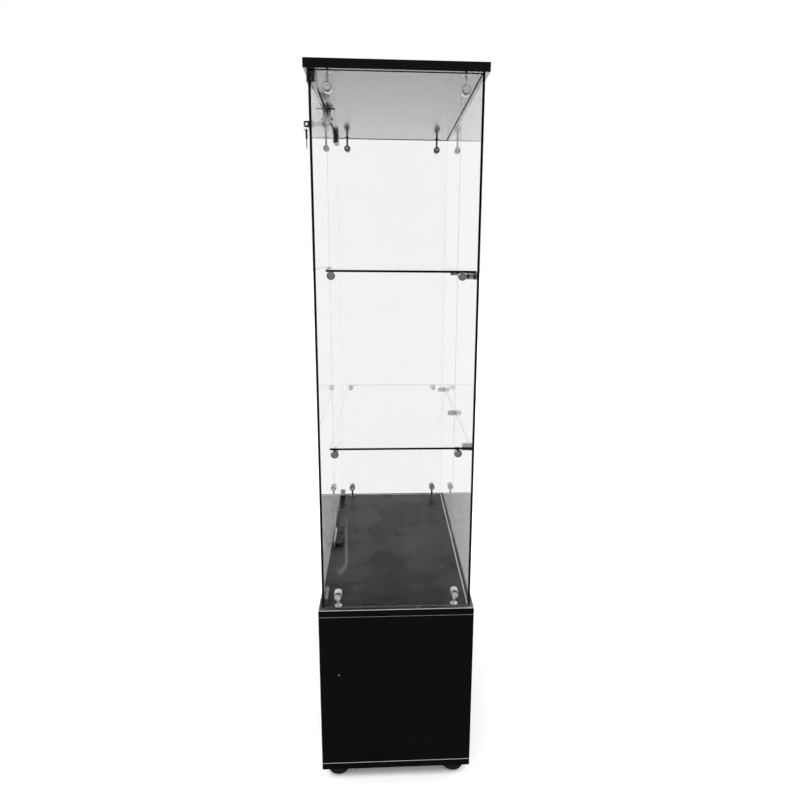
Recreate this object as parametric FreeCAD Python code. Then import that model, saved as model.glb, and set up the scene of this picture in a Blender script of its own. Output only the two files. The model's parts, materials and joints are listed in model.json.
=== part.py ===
import FreeCAD, Part
import math
import os

# Free-standing glass display case on a closed black plinth.
# Written frame: origin on the floor under the middle of the bounding box, +Z up,
# X across the short side, Y along the long side. The two glass doors are on the
# -X side, the fixed back glass on the +X side, the end panes at -Y (right) and
# +Y (left). The key in the lock stands out to -X, so the case itself is drawn
# about its own middle and moved by FRAME_X when it is written.
# All sizes are in millimetres.

# ---- driving dimensions ---------------------------------------------------
WIDTH = 400.0          # boards, along X
LENGTH = 800.0         # boards, along Y
HEIGHT = 1800.0        # floor to the top of the roof board
FOOT_H = 32.0          # feet under the plinth
PLINTH_H = 478.0       # bottom board, panels and deck board together
BOARD_T = 20.0         # bottom, deck and roof boards
PANEL_T = 16.0         # upright plinth panels
EDGE_R = 1.0           # rounding of the laminated board edges
GLASS_T = 5.0          # every pane, door and shelf
GLASS_INSET = 10.0     # board edge to the outer face of the glass
GLASS_BEVEL = 0.5      # ground arris of every glass edge
DOOR_GAP = 6.0         # door glass to the boards, above and below
DOOR_END_GAP = 2.5     # door glass to the end panes
DOOR_MEET_GAP = 3.0    # between the two doors
PIVOT_INSET = 16.0     # door end to the pivot axis
SHELF_PITCH = 425.0    # deck to lower shelf, lower shelf to upper shelf
SHELF_DOOR_GAP = 22.5  # shelf edge to the inner face of the doors
SHELF_END_GAP = 2.0    # shelf edge to the end panes
SHELF_BACK_GAP = 1.5   # shelf edge to the back glass
FITTING_X = 150.0      # brackets and shelf studs on the end panes, from the middle
BRACKET_DROP = 34.0    # board face to the bracket's glass hole
BACK_STUD_Y = 340.0    # outer shelf studs on the back glass, from the middle
HOLE_R = 4.0           # drilled holes in the glass for fittings
LOCK_Y = -22.0         # lock axis on the right door
LOCK_DROP = 37.0       # roof board to the lock axis
FOOT_INSET = 42.0      # foot centre from both plinth sides

# ---- levels and planes worked out from them -------------------------------
HALF_W = WIDTH / 2
HALF_L = LENGTH / 2
Z_BOTTOM = FOOT_H
Z_PANEL_LOW = Z_BOTTOM + BOARD_T
Z_DECK = FOOT_H + PLINTH_H
Z_PANEL_HIGH = Z_DECK - BOARD_T
Z_ROOF = HEIGHT - BOARD_T
GLASS_X = HALF_W - GLASS_INSET
GLASS_Y = HALF_L - GLASS_INSET
INNER_X = GLASS_X - GLASS_T
INNER_Y = GLASS_Y - GLASS_T
DOOR_X0 = -GLASS_X
DOOR_X1 = -INNER_X
DOOR_MID_X = (DOOR_X0 + DOOR_X1) / 2
DOOR_Z0 = Z_DECK + DOOR_GAP
DOOR_Z1 = Z_ROOF - DOOR_GAP
DOOR_END_Y = INNER_Y - DOOR_END_GAP
DOOR_MEET_Y = DOOR_MEET_GAP / 2
PIVOT_Y = DOOR_END_Y - PIVOT_INSET
SHELF_Z = [Z_DECK + SHELF_PITCH, Z_DECK + 2 * SHELF_PITCH]
LOCK_Z = Z_ROOF - LOCK_DROP

X_AXIS = FreeCAD.Vector(1, 0, 0)
Y_AXIS = FreeCAD.Vector(0, 1, 0)
Z_AXIS = FreeCAD.Vector(0, 0, 1)

os.makedirs("parts", exist_ok=True)


# ---- small helpers ----------------------------------------------------------
def vec(x, y, z):
    return FreeCAD.Vector(x, y, z)


def block(x0, x1, y0, y1, z0, z1):
    """Box between two corners given in any order."""
    low = vec(min(x0, x1), min(y0, y1), min(z0, z1))
    return Part.makeBox(abs(x1 - x0), abs(y1 - y0), abs(z1 - z0), low)


def rod(start, axis, radius, length):
    """Cylinder from start along axis."""
    return Part.makeCylinder(radius, length, start, axis)


def rounded(shape, radius):
    return shape.makeFillet(radius, shape.Edges)


def bevelled(shape, size):
    return shape.makeChamfer(size, shape.Edges)


def rim_rounded(shape, radius, centre_z):
    """Round the circular edges of a turned piece that lie at one height."""
    edges = [e for e in shape.Edges if abs(e.BoundBox.Center.z - centre_z) < 1e-6 and e.BoundBox.ZLength < 1e-6]
    return shape.makeFillet(radius, edges)


def cut_all(shape, tools):
    for tool in tools:
        shape = shape.cut(tool)
    return shape


def turned(profile, origin, axis):
    """Solid of revolution: profile is (radius, height) pairs along axis from origin."""
    points = [vec(r, 0, h) for r, h in profile]
    wire = Part.makePolygon(points + [points[0]])
    solid = Part.Face(wire).revolve(vec(0, 0, 0), Z_AXIS, 360)
    solid.Placement = FreeCAD.Placement(origin, FreeCAD.Rotation(Z_AXIS, axis))
    return solid


def save(node, shapes):
    """Write one node; a node of identical loose pieces is a compound of solids."""
    if not isinstance(shapes, list):
        shapes = [shapes]
    for shape in shapes:
        if not shape.isValid() or shape.Volume <= 0:
            raise RuntimeError(node + " is not a valid solid")
    moved = [shape.copy() for shape in shapes]
    for shape in moved:
        shape.translate(vec(FRAME_X, 0, 0))
    whole = moved[0] if len(moved) == 1 else Part.makeCompound(moved)
    whole.exportStep("parts/" + node + ".step")


def corners():
    """The four quadrants of the plan."""
    return [(sx, sy) for sy in (-1, 1) for sx in (-1, 1)]


# ---- plinth: connectors ------------------------------------------------------
DOWEL_R = 4.0
DOWEL_L = 30.0
DOWEL_IN_BOARD = 12.0
CAM_R = 7.5
CAM_T = 12.5
CAM_BACK = 24.0        # cam centre from the panel's edge
CAM_BOLT_R = 3.0
CAM_HEAD_R = 3.4
CONNECTOR_X = 120.0
DOWEL_X = 70.0
SIDE_CONNECTOR_Y = [-300.0, -90.0, 90.0, 300.0]
SIDE_DOWEL_Y = [-340.0, -190.0, 190.0, 340.0]


def panel_lines():
    """Connector places: (x, y, inward direction) on the end and side panels."""
    end_y = HALF_L - PANEL_T / 2
    side_x = HALF_W - PANEL_T / 2
    places = []
    for sy in (-1, 1):
        for x in (-CONNECTOR_X, CONNECTOR_X):
            places.append((x, sy * end_y, vec(0, -sy, 0)))
    for sx in (-1, 1):
        for y in SIDE_CONNECTOR_Y:
            places.append((sx * side_x, y, vec(-sx, 0, 0)))
    return places


def dowel_places():
    end_y = HALF_L - PANEL_T / 2
    side_x = HALF_W - PANEL_T / 2
    ends = [(x, sy * end_y) for sy in (-1, 1) for x in (-DOWEL_X, DOWEL_X)]
    sides = [(sx * side_x, y) for sx in (-1, 1) for y in SIDE_DOWEL_Y]
    middle = [(x, 0.0) for x in (-CONNECTOR_X, 0.0, CONNECTOR_X)]
    return ends + sides + middle


def dowel_solids():
    solids = []
    for x, y in dowel_places():
        low = Z_PANEL_LOW - DOWEL_IN_BOARD
        high = Z_PANEL_HIGH + DOWEL_IN_BOARD - DOWEL_L
        for z in (low, high):
            pin = rod(vec(x, y, z), Z_AXIS, DOWEL_R, DOWEL_L)
            solids.append(pin.makeChamfer(0.8, [e for e in pin.Edges if e.BoundBox.ZLength < 1e-6]))
    return solids


def cam_disc(x, y, z, inward):
    """Quarter-turn cam flush with the panel's inner face."""
    centre = vec(x, y, z) + inward * (PANEL_T / 2 - CAM_T)
    disc = rod(centre, inward, CAM_R, CAM_T)
    slot_across = inward.cross(Z_AXIS)
    slot = block(-4.5, 4.5, -0.9, 0.9, 0, 2.0)
    slot.Placement = FreeCAD.Placement(
        centre + inward * (CAM_T - 2.0), FreeCAD.Rotation(slot_across, Z_AXIS, inward, "ZXY"))
    return disc.cut(slot)


def cam_solids():
    discs = []
    bolts = []
    for x, y, inward in panel_lines():
        for edge, up in ((Z_PANEL_LOW, 1), (Z_PANEL_HIGH, -1)):
            disc = cam_disc(x, y, edge + up * CAM_BACK, inward)
            thread = rod(vec(x, y, edge - up * 11.0), Z_AXIS * up, CAM_BOLT_R, 11.0)
            shank = rod(vec(x, y, edge), Z_AXIS * up, CAM_BOLT_R, CAM_BACK)
            head = rod(vec(x, y, edge + up * (CAM_BACK - 3.0)), Z_AXIS * up, CAM_HEAD_R, 3.0)
            bolt = thread.fuse(shank).fuse(head).removeSplitter()
            disc = disc.cut(rod(vec(x, y, edge), Z_AXIS * up, CAM_HEAD_R + 0.4, CAM_BACK + 0.5))
            discs.append(disc)
            bolts.append(bolt)
    return discs, bolts


def connector_cuts():
    """Holes that the dowels, cam bolts and cams need in boards and panels."""
    cuts = []
    for x, y in dowel_places():
        cuts.append(rod(vec(x, y, Z_PANEL_LOW - DOWEL_IN_BOARD - 0.5), Z_AXIS, DOWEL_R, DOWEL_L + 1.0))
        top = Z_PANEL_HIGH + DOWEL_IN_BOARD + 0.5
        cuts.append(rod(vec(x, y, top), -Z_AXIS, DOWEL_R, DOWEL_L + 1.0))
    for x, y, inward in panel_lines():
        for edge, up in ((Z_PANEL_LOW, 1), (Z_PANEL_HIGH, -1)):
            centre = vec(x, y, edge + up * CAM_BACK)
            pocket_start = centre + inward * (PANEL_T / 2 - CAM_T)
            cuts.append(rod(pocket_start, inward, CAM_R, CAM_T + 1.0))
            cuts.append(rod(vec(x, y, edge), Z_AXIS * up, CAM_HEAD_R + 0.4, CAM_BACK))
            cuts.append(rod(vec(x, y, edge - up * 11.0), Z_AXIS * up, CAM_BOLT_R, 11.0))
    return cuts


# ---- plinth: boards, panels and feet ------------------------------------------
FOOT_R = 31.0
FOOT_LOW_R = 30.0
FOOT_ROUND = 10.0
FOOT_SPIGOT_R = 6.0
FOOT_SPIGOT_H = 6.0
FOOT_WELL_R = 6.5
FOOT_WELL_H = 18.0
FOOT_SCREW_R = 2.2


def foot_centres():
    return [(sx * (HALF_W - FOOT_INSET), sy * (HALF_L - FOOT_INSET)) for sx, sy in corners()]


def foot(x, y):
    """Round moulded foot: slight taper, rounded tread, screw well from below."""
    body = turned([(0, 0), (FOOT_LOW_R, 0), (FOOT_R, FOOT_H), (0, FOOT_H)], vec(x, y, 0), Z_AXIS)
    tread = [e for e in body.Edges if e.BoundBox.ZMax < 1e-6 and e.Length > FOOT_LOW_R]
    body = body.makeFillet(FOOT_ROUND, tread)
    spigot = rod(vec(x, y, FOOT_H), Z_AXIS, FOOT_SPIGOT_R, FOOT_SPIGOT_H)
    body = body.fuse(spigot).removeSplitter()
    well = rod(vec(x, y, 0), Z_AXIS, FOOT_WELL_R, FOOT_WELL_H)
    bore = rod(vec(x, y, 0), Z_AXIS, FOOT_SCREW_R, FOOT_H + FOOT_SPIGOT_H)
    return cut_all(body, [well, bore])


def foot_screw(x, y):
    """Pan-head wood screw that holds a foot to the bottom board."""
    head = turned([(0, 0), (4.0, 0.8), (4.0, 3.0), (0, 3.0)], vec(x, y, FOOT_WELL_H - 3.0), Z_AXIS)
    shank = turned([(0, 0), (FOOT_SCREW_R, 0), (FOOT_SCREW_R, 26), (0, 29)], vec(x, y, FOOT_WELL_H), Z_AXIS)
    recess = block(x - 2.2, x + 2.2, y - 0.5, y + 0.5, FOOT_WELL_H - 3.2, FOOT_WELL_H - 1.2)
    cross = block(x - 0.5, x + 0.5, y - 2.2, y + 2.2, FOOT_WELL_H - 3.2, FOOT_WELL_H - 1.2)
    return cut_all(head.fuse(shank).removeSplitter(), [recess, cross])


def build_plinth():
    cuts = connector_cuts()
    board = rounded(block(-HALF_W, HALF_W, -HALF_L, HALF_L, Z_BOTTOM, Z_PANEL_LOW), EDGE_R)
    for x, y in foot_centres():
        board = board.cut(rod(vec(x, y, Z_BOTTOM), Z_AXIS, FOOT_SPIGOT_R, FOOT_SPIGOT_H))
        screw_tip = FOOT_WELL_H + 29 + 0.5 - Z_BOTTOM
        board = board.cut(rod(vec(x, y, Z_BOTTOM), Z_AXIS, FOOT_SCREW_R, screw_tip))
    save("bottom_board", cut_all(board, cuts))

    end_panel = rounded(block(-HALF_W, HALF_W, -HALF_L, -HALF_L + PANEL_T, Z_PANEL_LOW, Z_PANEL_HIGH), EDGE_R)
    save("right_end_panel", cut_all(end_panel, cuts))
    end_panel = rounded(block(-HALF_W, HALF_W, HALF_L - PANEL_T, HALF_L, Z_PANEL_LOW, Z_PANEL_HIGH), EDGE_R)
    save("left_end_panel", cut_all(end_panel, cuts))

    side_l = HALF_L - PANEL_T
    side = block(-HALF_W, -HALF_W + PANEL_T, -side_l, side_l, Z_PANEL_LOW, Z_PANEL_HIGH)
    save("front_side_panel", cut_all(side, cuts))
    side = block(HALF_W - PANEL_T, HALF_W, -side_l, side_l, Z_PANEL_LOW, Z_PANEL_HIGH)
    save("back_side_panel", cut_all(side, cuts))

    inner = HALF_W - PANEL_T
    divider = block(-inner, inner, -PANEL_T / 2, PANEL_T / 2, Z_PANEL_LOW, Z_PANEL_HIGH)
    save("middle_divider", cut_all(divider, cuts))

    save("panel_dowels", dowel_solids())
    discs, bolts = cam_solids()
    save("cam_discs", discs)
    save("cam_bolts", bolts)

    save("feet", [foot(x, y) for x, y in foot_centres()])
    save("foot_screws", [foot_screw(x, y) for x, y in foot_centres()])
    return cuts


# ---- door pivots: clamps, bushes and pins ---------------------------------------
CLAMP_L = 60.0
CLAMP_DEPTH = 18.0     # how far the clamp reaches over the glass
LINER_T = 0.8
CLAMP_OUT_T = 3.7
CLAMP_IN_T = 8.0
CLAMP_WEB_T = 3.8
PIN_R = 4.0
PIN_FIT = 0.05         # radial running clearance in the bush
PIN_STAND = 12.0       # how far the pin reaches above the clamp
BUSH_R = 6.5
BUSH_FLANGE_R = 8.5
BUSH_FLANGE_T = 1.0
BUSH_DEPTH = 14.0
GRUB_R = 2.5
GRUB_DROP = 11.0
GRUB_OFFSETS = (22.0, 48.0)   # from the door's end


def pivot_places():
    """(door side sign, board face, direction into the board) of the four pivots."""
    return [(sy, face, out) for sy in (-1, 1) for face, out in ((Z_ROOF, 1), (Z_DECK, -1))]


def bush(sy, face, out):
    """Flanged plastic bush let into a board."""
    centre = vec(DOOR_MID_X, sy * PIVOT_Y, face)
    barrel = rod(centre, Z_AXIS * out, BUSH_R, BUSH_DEPTH)
    flange = rod(centre, Z_AXIS * -out, BUSH_FLANGE_R, BUSH_FLANGE_T)
    body = barrel.fuse(flange).removeSplitter()
    return body.cut(rod(centre - Z_AXIS * out * BUSH_FLANGE_T, Z_AXIS * out, PIN_R + PIN_FIT, BUSH_DEPTH))


def bush_cuts(face):
    return [rod(vec(DOOR_MID_X, sy * PIVOT_Y, face), Z_AXIS * (1 if face == Z_ROOF else -1), BUSH_R, BUSH_DEPTH)
            for sy in (-1, 1)]


def clamp(sy, edge, out):
    """U-shaped pivot clamp over a door's top (out=1) or bottom (out=-1) corner."""
    end = sy * DOOR_END_Y
    inner = end - sy * CLAMP_L
    web_in = edge + out * LINER_T
    web_out = web_in + out * CLAMP_WEB_T
    tip = edge - out * CLAMP_DEPTH
    x0 = DOOR_X0 - LINER_T - CLAMP_OUT_T
    x1 = DOOR_X1 + LINER_T + CLAMP_IN_T
    body = block(x0, x1, end, inner, tip, web_out)
    long_edges = [e for e in body.Edges if e.BoundBox.XLength < 1e-6]
    body = body.makeFillet(1.2, long_edges)
    slot = block(DOOR_X0 - LINER_T, DOOR_X1 + LINER_T, end + sy, inner - sy, tip - out, web_in)
    body = body.cut(slot)
    for offset in GRUB_OFFSETS:
        y = end - sy * offset
        start = vec(DOOR_X1 + LINER_T - 0.5, y, edge - out * GRUB_DROP)
        body = body.cut(rod(start, X_AXIS, GRUB_R, CLAMP_IN_T + 1.0))
    return body.cut(rod(vec(DOOR_MID_X, sy * PIVOT_Y, web_in), Z_AXIS * out, PIN_R, CLAMP_WEB_T))


def clamp_liner(sy, edge, out):
    """Thin U-shaped rubber liner between the clamp and the glass."""
    end = sy * DOOR_END_Y
    inner = end - sy * CLAMP_L
    tip = edge - out * CLAMP_DEPTH
    body = block(DOOR_X0 - LINER_T, DOOR_X1 + LINER_T, end, inner, tip, edge + out * LINER_T)
    return body.cut(block(DOOR_X0, DOOR_X1, end + sy, inner - sy, tip - out, edge))


def pivot_pin(sy, edge, out):
    start = vec(DOOR_MID_X, sy * PIVOT_Y, edge + out * LINER_T)
    length = CLAMP_WEB_T + PIN_STAND
    pin = rod(start, Z_AXIS * out, PIN_R, length)
    tip_z = start.z + out * length
    return pin.makeChamfer(0.8, [e for e in pin.Edges if abs(e.BoundBox.Center.z - tip_z) < 1e-6])


def grub_screw(sy, edge, out, offset):
    """Hexagon-socket grub screw whose tip presses on the liner."""
    start = vec(DOOR_X1 + LINER_T, sy * (DOOR_END_Y - offset), edge - out * GRUB_DROP)
    body = rod(start, X_AXIS, GRUB_R, CLAMP_IN_T - 0.4)
    socket = Part.Face(Part.makePolygon([
        vec(CLAMP_IN_T - 0.4, 1.4 * math.cos(math.radians(a)), 1.4 * math.sin(math.radians(a)))
        for a in range(0, 361, 60)])).extrude(vec(-2.5, 0, 0))
    socket.translate(start)
    return body.cut(socket)


# ---- glass ----------------------------------------------------------------------
def through_x(y, z, radius=HOLE_R):
    return rod(vec(-HALF_W, y, z), X_AXIS, radius, WIDTH)


def end_stud_z():
    """Heights of the shelf studs."""
    return [z - GLASS_T / 2 - SLEEVE_R for z in SHELF_Z]


def end_holes(sy):
    """Holes in one end pane: two brackets at each board and two studs a shelf."""
    heights = [Z_DECK + BRACKET_DROP, Z_ROOF - BRACKET_DROP] + end_stud_z()
    return [rod(vec(sx * FITTING_X, sy * HALF_L, z), Y_AXIS * -sy, HOLE_R, 3 * GLASS_INSET)
            for z in heights for sx in (-1, 1)]


def end_glass(sy):
    pane = bevelled(block(-GLASS_X, GLASS_X, sy * INNER_Y, sy * GLASS_Y, Z_DECK, Z_ROOF), GLASS_BEVEL)
    return cut_all(pane, end_holes(sy))


BACK_END_GAP = 1.0
BACK_JOINT = 2.0


def back_holes():
    holes = []
    for z in end_stud_z():
        for y in (-BACK_STUD_Y, 0.0, BACK_STUD_Y):
            holes.append(rod(vec(HALF_W, y, z), -X_AXIS, HOLE_R, 3 * GLASS_INSET))
    return holes


def back_glass(sy):
    """One of the two fixed back panes; they meet behind the middle studs."""
    outer = sy * (INNER_Y - BACK_END_GAP)
    pane = bevelled(block(INNER_X, GLASS_X, sy * BACK_JOINT / 2, outer, Z_DECK, Z_ROOF), GLASS_BEVEL)
    return cut_all(pane, back_holes())


def back_joint_seal():
    """Clear strip that fills the joint of the two back panes."""
    seal = block(INNER_X + 1.0, GLASS_X - 1.0, -BACK_JOINT / 2, BACK_JOINT / 2, Z_DECK, Z_ROOF)
    return cut_all(seal, [rod(vec(HALF_W, 0, z), -X_AXIS, HOLE_R, 3 * GLASS_INSET) for z in end_stud_z()]).Solids


def corner_seal(sy):
    """Clear bead between a back pane's end and the end pane."""
    return block(INNER_X + 1.0, GLASS_X - 1.0, sy * INNER_Y, sy * (INNER_Y - BACK_END_GAP), Z_DECK, Z_ROOF)


def door_glass(sy):
    return bevelled(block(DOOR_X0, DOOR_X1, sy * DOOR_MEET_Y, sy * DOOR_END_Y, DOOR_Z0, DOOR_Z1), GLASS_BEVEL)


def shelf(z):
    x0 = DOOR_X1 + SHELF_DOOR_GAP
    x1 = INNER_X - SHELF_BACK_GAP
    y1 = INNER_Y - SHELF_END_GAP
    return bevelled(block(x0, x1, -y1, y1, z - GLASS_T / 2, z + GLASS_T / 2), GLASS_BEVEL)


# ---- pane brackets and shelf studs -----------------------------------------------
BRACKET_FLANGE_R = 9.5
BRACKET_FLANGE_T = 3.0
BRACKET_STEM_R = 3.2
BRACKET_HEAD_R = 10.0
BRACKET_HEAD_T = 18.0
BRACKET_STUD_L = 13.0  # threaded end in the board
WASHER_T = 1.0
WASHER_R = 8.5
CAP_R = 9.5
CAP_T = 5.0
BOLT_R = 3.0
BOLT_HEAD_R = 5.5
BOLT_HEAD_T = 3.5
STUD_R = 7.2
STUD_L = 20.0
SLEEVE_R = 8.0
SLEEVE_L = 12.0


def cap(origin, axis):
    """Domed outer cap with a blind threaded hole; axis points away from the glass."""
    rim = CAP_R - 1.2
    body = turned([(0, 0), (CAP_R, 0), (CAP_R, CAP_T - 1.6), (rim, CAP_T - 0.4), (0, CAP_T)], origin, axis)
    return body.cut(rod(origin, axis, BOLT_R, CAP_T - 1.5))


def washer(origin, axis):
    ring = rod(origin, axis, WASHER_R, WASHER_T)
    return ring.cut(rod(origin, axis, BOLT_R, WASHER_T))


def bracket(sx, sy, out):
    """Post from a board with a round head that the end pane is bolted to."""
    face = Z_ROOF if out > 0 else Z_DECK
    hole_z = face - out * BRACKET_DROP
    head_y = sy * (INNER_Y - WASHER_T)
    post_y = head_y - sy * BRACKET_HEAD_T / 2
    x = sx * FITTING_X
    down = Z_AXIS * -out
    flange = turned([(0, 0), (BRACKET_FLANGE_R, 0), (BRACKET_FLANGE_R, 1.4), (BRACKET_STEM_R + 1.5, BRACKET_FLANGE_T),
                     (0, BRACKET_FLANGE_T)], vec(x, post_y, face), down)
    stem = rod(vec(x, post_y, face), down, BRACKET_STEM_R, BRACKET_DROP)
    thread = rod(vec(x, post_y, face), -down, BOLT_R, BRACKET_STUD_L)
    head = rod(vec(x, head_y, hole_z), Y_AXIS * -sy, BRACKET_HEAD_R, BRACKET_HEAD_T)
    head = head.makeChamfer(1.0, [e for e in head.Edges if e.BoundBox.YLength < 1e-6])
    body = flange.fuse(stem).fuse(thread).fuse(head).removeSplitter()
    return body.cut(rod(vec(x, head_y, hole_z), Y_AXIS * -sy, BOLT_R, BRACKET_HEAD_T))


def bracket_bolt(sx, sy, out):
    """Socket-head bolt from inside, through the head and the glass into the cap."""
    face = Z_ROOF if out > 0 else Z_DECK
    start = vec(sx * FITTING_X, sy * (INNER_Y - WASHER_T - BRACKET_HEAD_T), face - out * BRACKET_DROP)
    outward = Y_AXIS * sy
    head = rod(start, -outward, BOLT_HEAD_R, BOLT_HEAD_T)
    shank_l = BRACKET_HEAD_T + 2 * WASHER_T + GLASS_T + CAP_T - 2.0
    body = head.fuse(rod(start, outward, BOLT_R, shank_l)).removeSplitter()
    return body.cut(rod(start - outward * BOLT_HEAD_T, outward, 2.2, 2.0))


def bracket_cuts(out):
    """Threaded-end holes in the roof (out=1) or deck (out=-1) board."""
    face = Z_ROOF if out > 0 else Z_DECK
    post_y = INNER_Y - WASHER_T - BRACKET_HEAD_T / 2
    return [rod(vec(sx * FITTING_X, sy * post_y, face), Z_AXIS * out, BOLT_R, BRACKET_STUD_L) for sx, sy in corners()]


def stud_places(z):
    """(inner glass face point, inward direction) of the seven studs of one shelf."""
    places = [(vec(sx * FITTING_X, sy * INNER_Y, z), vec(0, -sy, 0)) for sx, sy in corners()]
    places += [(vec(INNER_X, y, z), vec(-1, 0, 0)) for y in (-BACK_STUD_Y, 0.0, BACK_STUD_Y)]
    return places


def shelf_stud(point, inward):
    """Round stud inside the pane with a shank that passes through to the cap."""
    start = point + inward * WASHER_T
    body = turned([(0, 0), (STUD_R, 0), (STUD_R, SLEEVE_L), (SLEEVE_R, SLEEVE_L), (SLEEVE_R, STUD_L - 1.2),
                   (SLEEVE_R - 1.2, STUD_L), (0, STUD_L)], start, inward)
    shank = rod(start, -inward, BOLT_R, 2 * WASHER_T + GLASS_T + CAP_T - 2.0)
    return body.fuse(shank).removeSplitter()


def stud_sleeve(point, inward):
    start = point + inward * WASHER_T
    tube = rod(start, inward, SLEEVE_R, SLEEVE_L)
    return tube.cut(rod(start, inward, STUD_R, SLEEVE_L))


# ---- lock on the right door and its strike -----------------------------------------
BARREL_R = 7.5
BARREL_OUT = 26.0      # barrel stands this far out of the glass
BARREL_IN = 6.5
ROSE_R = 10.5
ROSE_T = 2.0
NUT_R = 11.0
NUT_T = 5.0
PLUG_R = 5.0
PLUG_FIT = 0.05
CAM_REACH = 30.0
CAM_W = 12.0
LOCK_CAM_T = 2.0
STRIKE_T = 2.0
STRIKE_DROP = 18.0
STRIKE_HALF_W = 11.0
BARREL_FACE_X = DOOR_X0 - BARREL_OUT
BARREL_END_X = DOOR_X1 + BARREL_IN
CAM_X = BARREL_END_X + 1.0
KEY_T = 2.0
KEY_H = 7.0
KEY_SLOT_CLEAR = 0.3
KEY_IN = 21.5
KEY_SHOULDER = 3.5
HEAD_L = 26.0
HEAD_W = 16.0
HEAD_T = 4.0
HEAD_HOLE_R = 4.0
HEAD_HOLE_EDGE = 7.0   # hole centre from the head's outer end
RING_R = 9.0
WIRE_R = 0.8
RING_TURN = 48.0       # ring plane from the X axis, in degrees
RING_HANG = 1.0        # ring's top wire below the key hole's centre
SPARE_HANG = 0.3       # spare key's hole centre below the ring's bottom wire
BLADE_L = 25.0


def lock_barrel():
    rose = rod(vec(DOOR_X0 - ROSE_T, LOCK_Y, LOCK_Z), X_AXIS, ROSE_R, ROSE_T)
    rose = rose.makeFillet(0.8, [e for e in rose.Edges if abs(e.BoundBox.Center.x - DOOR_X0 + ROSE_T) < 1e-6])
    barrel = rod(vec(BARREL_FACE_X, LOCK_Y, LOCK_Z), X_AXIS, BARREL_R, BARREL_END_X - BARREL_FACE_X)
    barrel = barrel.makeChamfer(1.0, [e for e in barrel.Edges if abs(e.BoundBox.Center.x - BARREL_FACE_X) < 1e-6])
    body = rose.fuse(barrel).removeSplitter()
    bore_l = BARREL_END_X - BARREL_FACE_X
    return body.cut(rod(vec(BARREL_FACE_X, LOCK_Y, LOCK_Z), X_AXIS, PLUG_R + PLUG_FIT, bore_l))


def lock_nut():
    points = [vec(0, NUT_R * math.cos(math.radians(a)), NUT_R * math.sin(math.radians(a))) for a in range(0, 361, 60)]
    nut = Part.Face(Part.makePolygon(points)).extrude(vec(NUT_T, 0, 0))
    nut.translate(vec(DOOR_X1, LOCK_Y, LOCK_Z))
    return nut.cut(rod(vec(DOOR_X1, LOCK_Y, LOCK_Z), X_AXIS, BARREL_R, 2 * NUT_T))


def lock_plug():
    """Turning cylinder: keyway from outside, square end for the cam."""
    body = rod(vec(BARREL_FACE_X - 0.6, LOCK_Y, LOCK_Z), X_AXIS, PLUG_R, CAM_X - BARREL_FACE_X + 0.6)
    square = block(CAM_X, CAM_X + LOCK_CAM_T, LOCK_Y - 3, LOCK_Y + 3, LOCK_Z - 3, LOCK_Z + 3)
    body = body.fuse(square).removeSplitter()
    keyway = block(BARREL_FACE_X - 1.0, BARREL_FACE_X + KEY_IN + 1.0,
                   LOCK_Y - KEY_T / 2 - KEY_SLOT_CLEAR, LOCK_Y + KEY_T / 2 + KEY_SLOT_CLEAR,
                   LOCK_Z - KEY_H / 2 - KEY_SLOT_CLEAR, LOCK_Z + KEY_H / 2 + KEY_SLOT_CLEAR)
    tapped = rod(vec(CAM_X - 8, LOCK_Y, LOCK_Z), X_AXIS, 1.5, 20)
    return cut_all(body, [keyway, tapped])


def lock_cam():
    """Flat cam; unlocked it lies along -Y, locked it points up behind the strike."""
    bar = block(CAM_X, CAM_X + LOCK_CAM_T, LOCK_Y - CAM_REACH + CAM_W / 2, LOCK_Y, LOCK_Z - CAM_W / 2, LOCK_Z + CAM_W / 2)
    tip = rod(vec(CAM_X, LOCK_Y - CAM_REACH + CAM_W / 2, LOCK_Z), X_AXIS, CAM_W / 2, LOCK_CAM_T)
    hub = rod(vec(CAM_X, LOCK_Y, LOCK_Z), X_AXIS, CAM_W / 2, LOCK_CAM_T)
    body = bar.fuse(tip).fuse(hub).removeSplitter()
    return body.cut(block(CAM_X, CAM_X + LOCK_CAM_T, LOCK_Y - 3, LOCK_Y + 3, LOCK_Z - 3, LOCK_Z + 3))


def lock_cam_screw():
    end = CAM_X + LOCK_CAM_T
    head = rod(vec(end, LOCK_Y, LOCK_Z), X_AXIS, 4.5, 2.5)
    head = head.makeFillet(1.0, [e for e in head.Edges if abs(e.BoundBox.Center.x - end - 2.5) < 1e-6])
    body = head.fuse(rod(vec(end, LOCK_Y, LOCK_Z), -X_AXIS, 1.5, 8)).removeSplitter()
    return body.cut(block(end + 1.4, end + 3, LOCK_Y - 3.2, LOCK_Y + 3.2, LOCK_Z - 0.5, LOCK_Z + 0.5))


def strike_screw_places():
    return [(CAM_X + 12.0, LOCK_Y + dy) for dy in (-6.0, 6.0)]


def lock_strike():
    """Angle under the roof; its lip stands between the door and the turned-up cam."""
    lip_x1 = CAM_X - 1.0
    lip_x0 = lip_x1 - STRIKE_T
    y0 = LOCK_Y - STRIKE_HALF_W
    y1 = LOCK_Y + STRIKE_HALF_W
    lip = block(lip_x0, lip_x1, y0, y1, Z_ROOF - STRIKE_DROP, Z_ROOF)
    base = block(lip_x0, CAM_X + 18.0, y0, y1, Z_ROOF - STRIKE_T, Z_ROOF)
    body = lip.fuse(base).removeSplitter()
    for x, y in strike_screw_places():
        body = body.cut(Part.makeCone(3.4, 1.7, STRIKE_T, vec(x, y, Z_ROOF - STRIKE_T), Z_AXIS))
    return body


def csk_screw(x, y, face, out, length):
    """Countersunk screw whose head fills a 2 mm plate on a board face."""
    head = Part.makeCone(3.4, 1.7, STRIKE_T, vec(x, y, face - out * STRIKE_T), Z_AXIS * out)
    shank = rod(vec(x, y, face), Z_AXIS * out, 1.7, length)
    return head.fuse(shank).removeSplitter()


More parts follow.
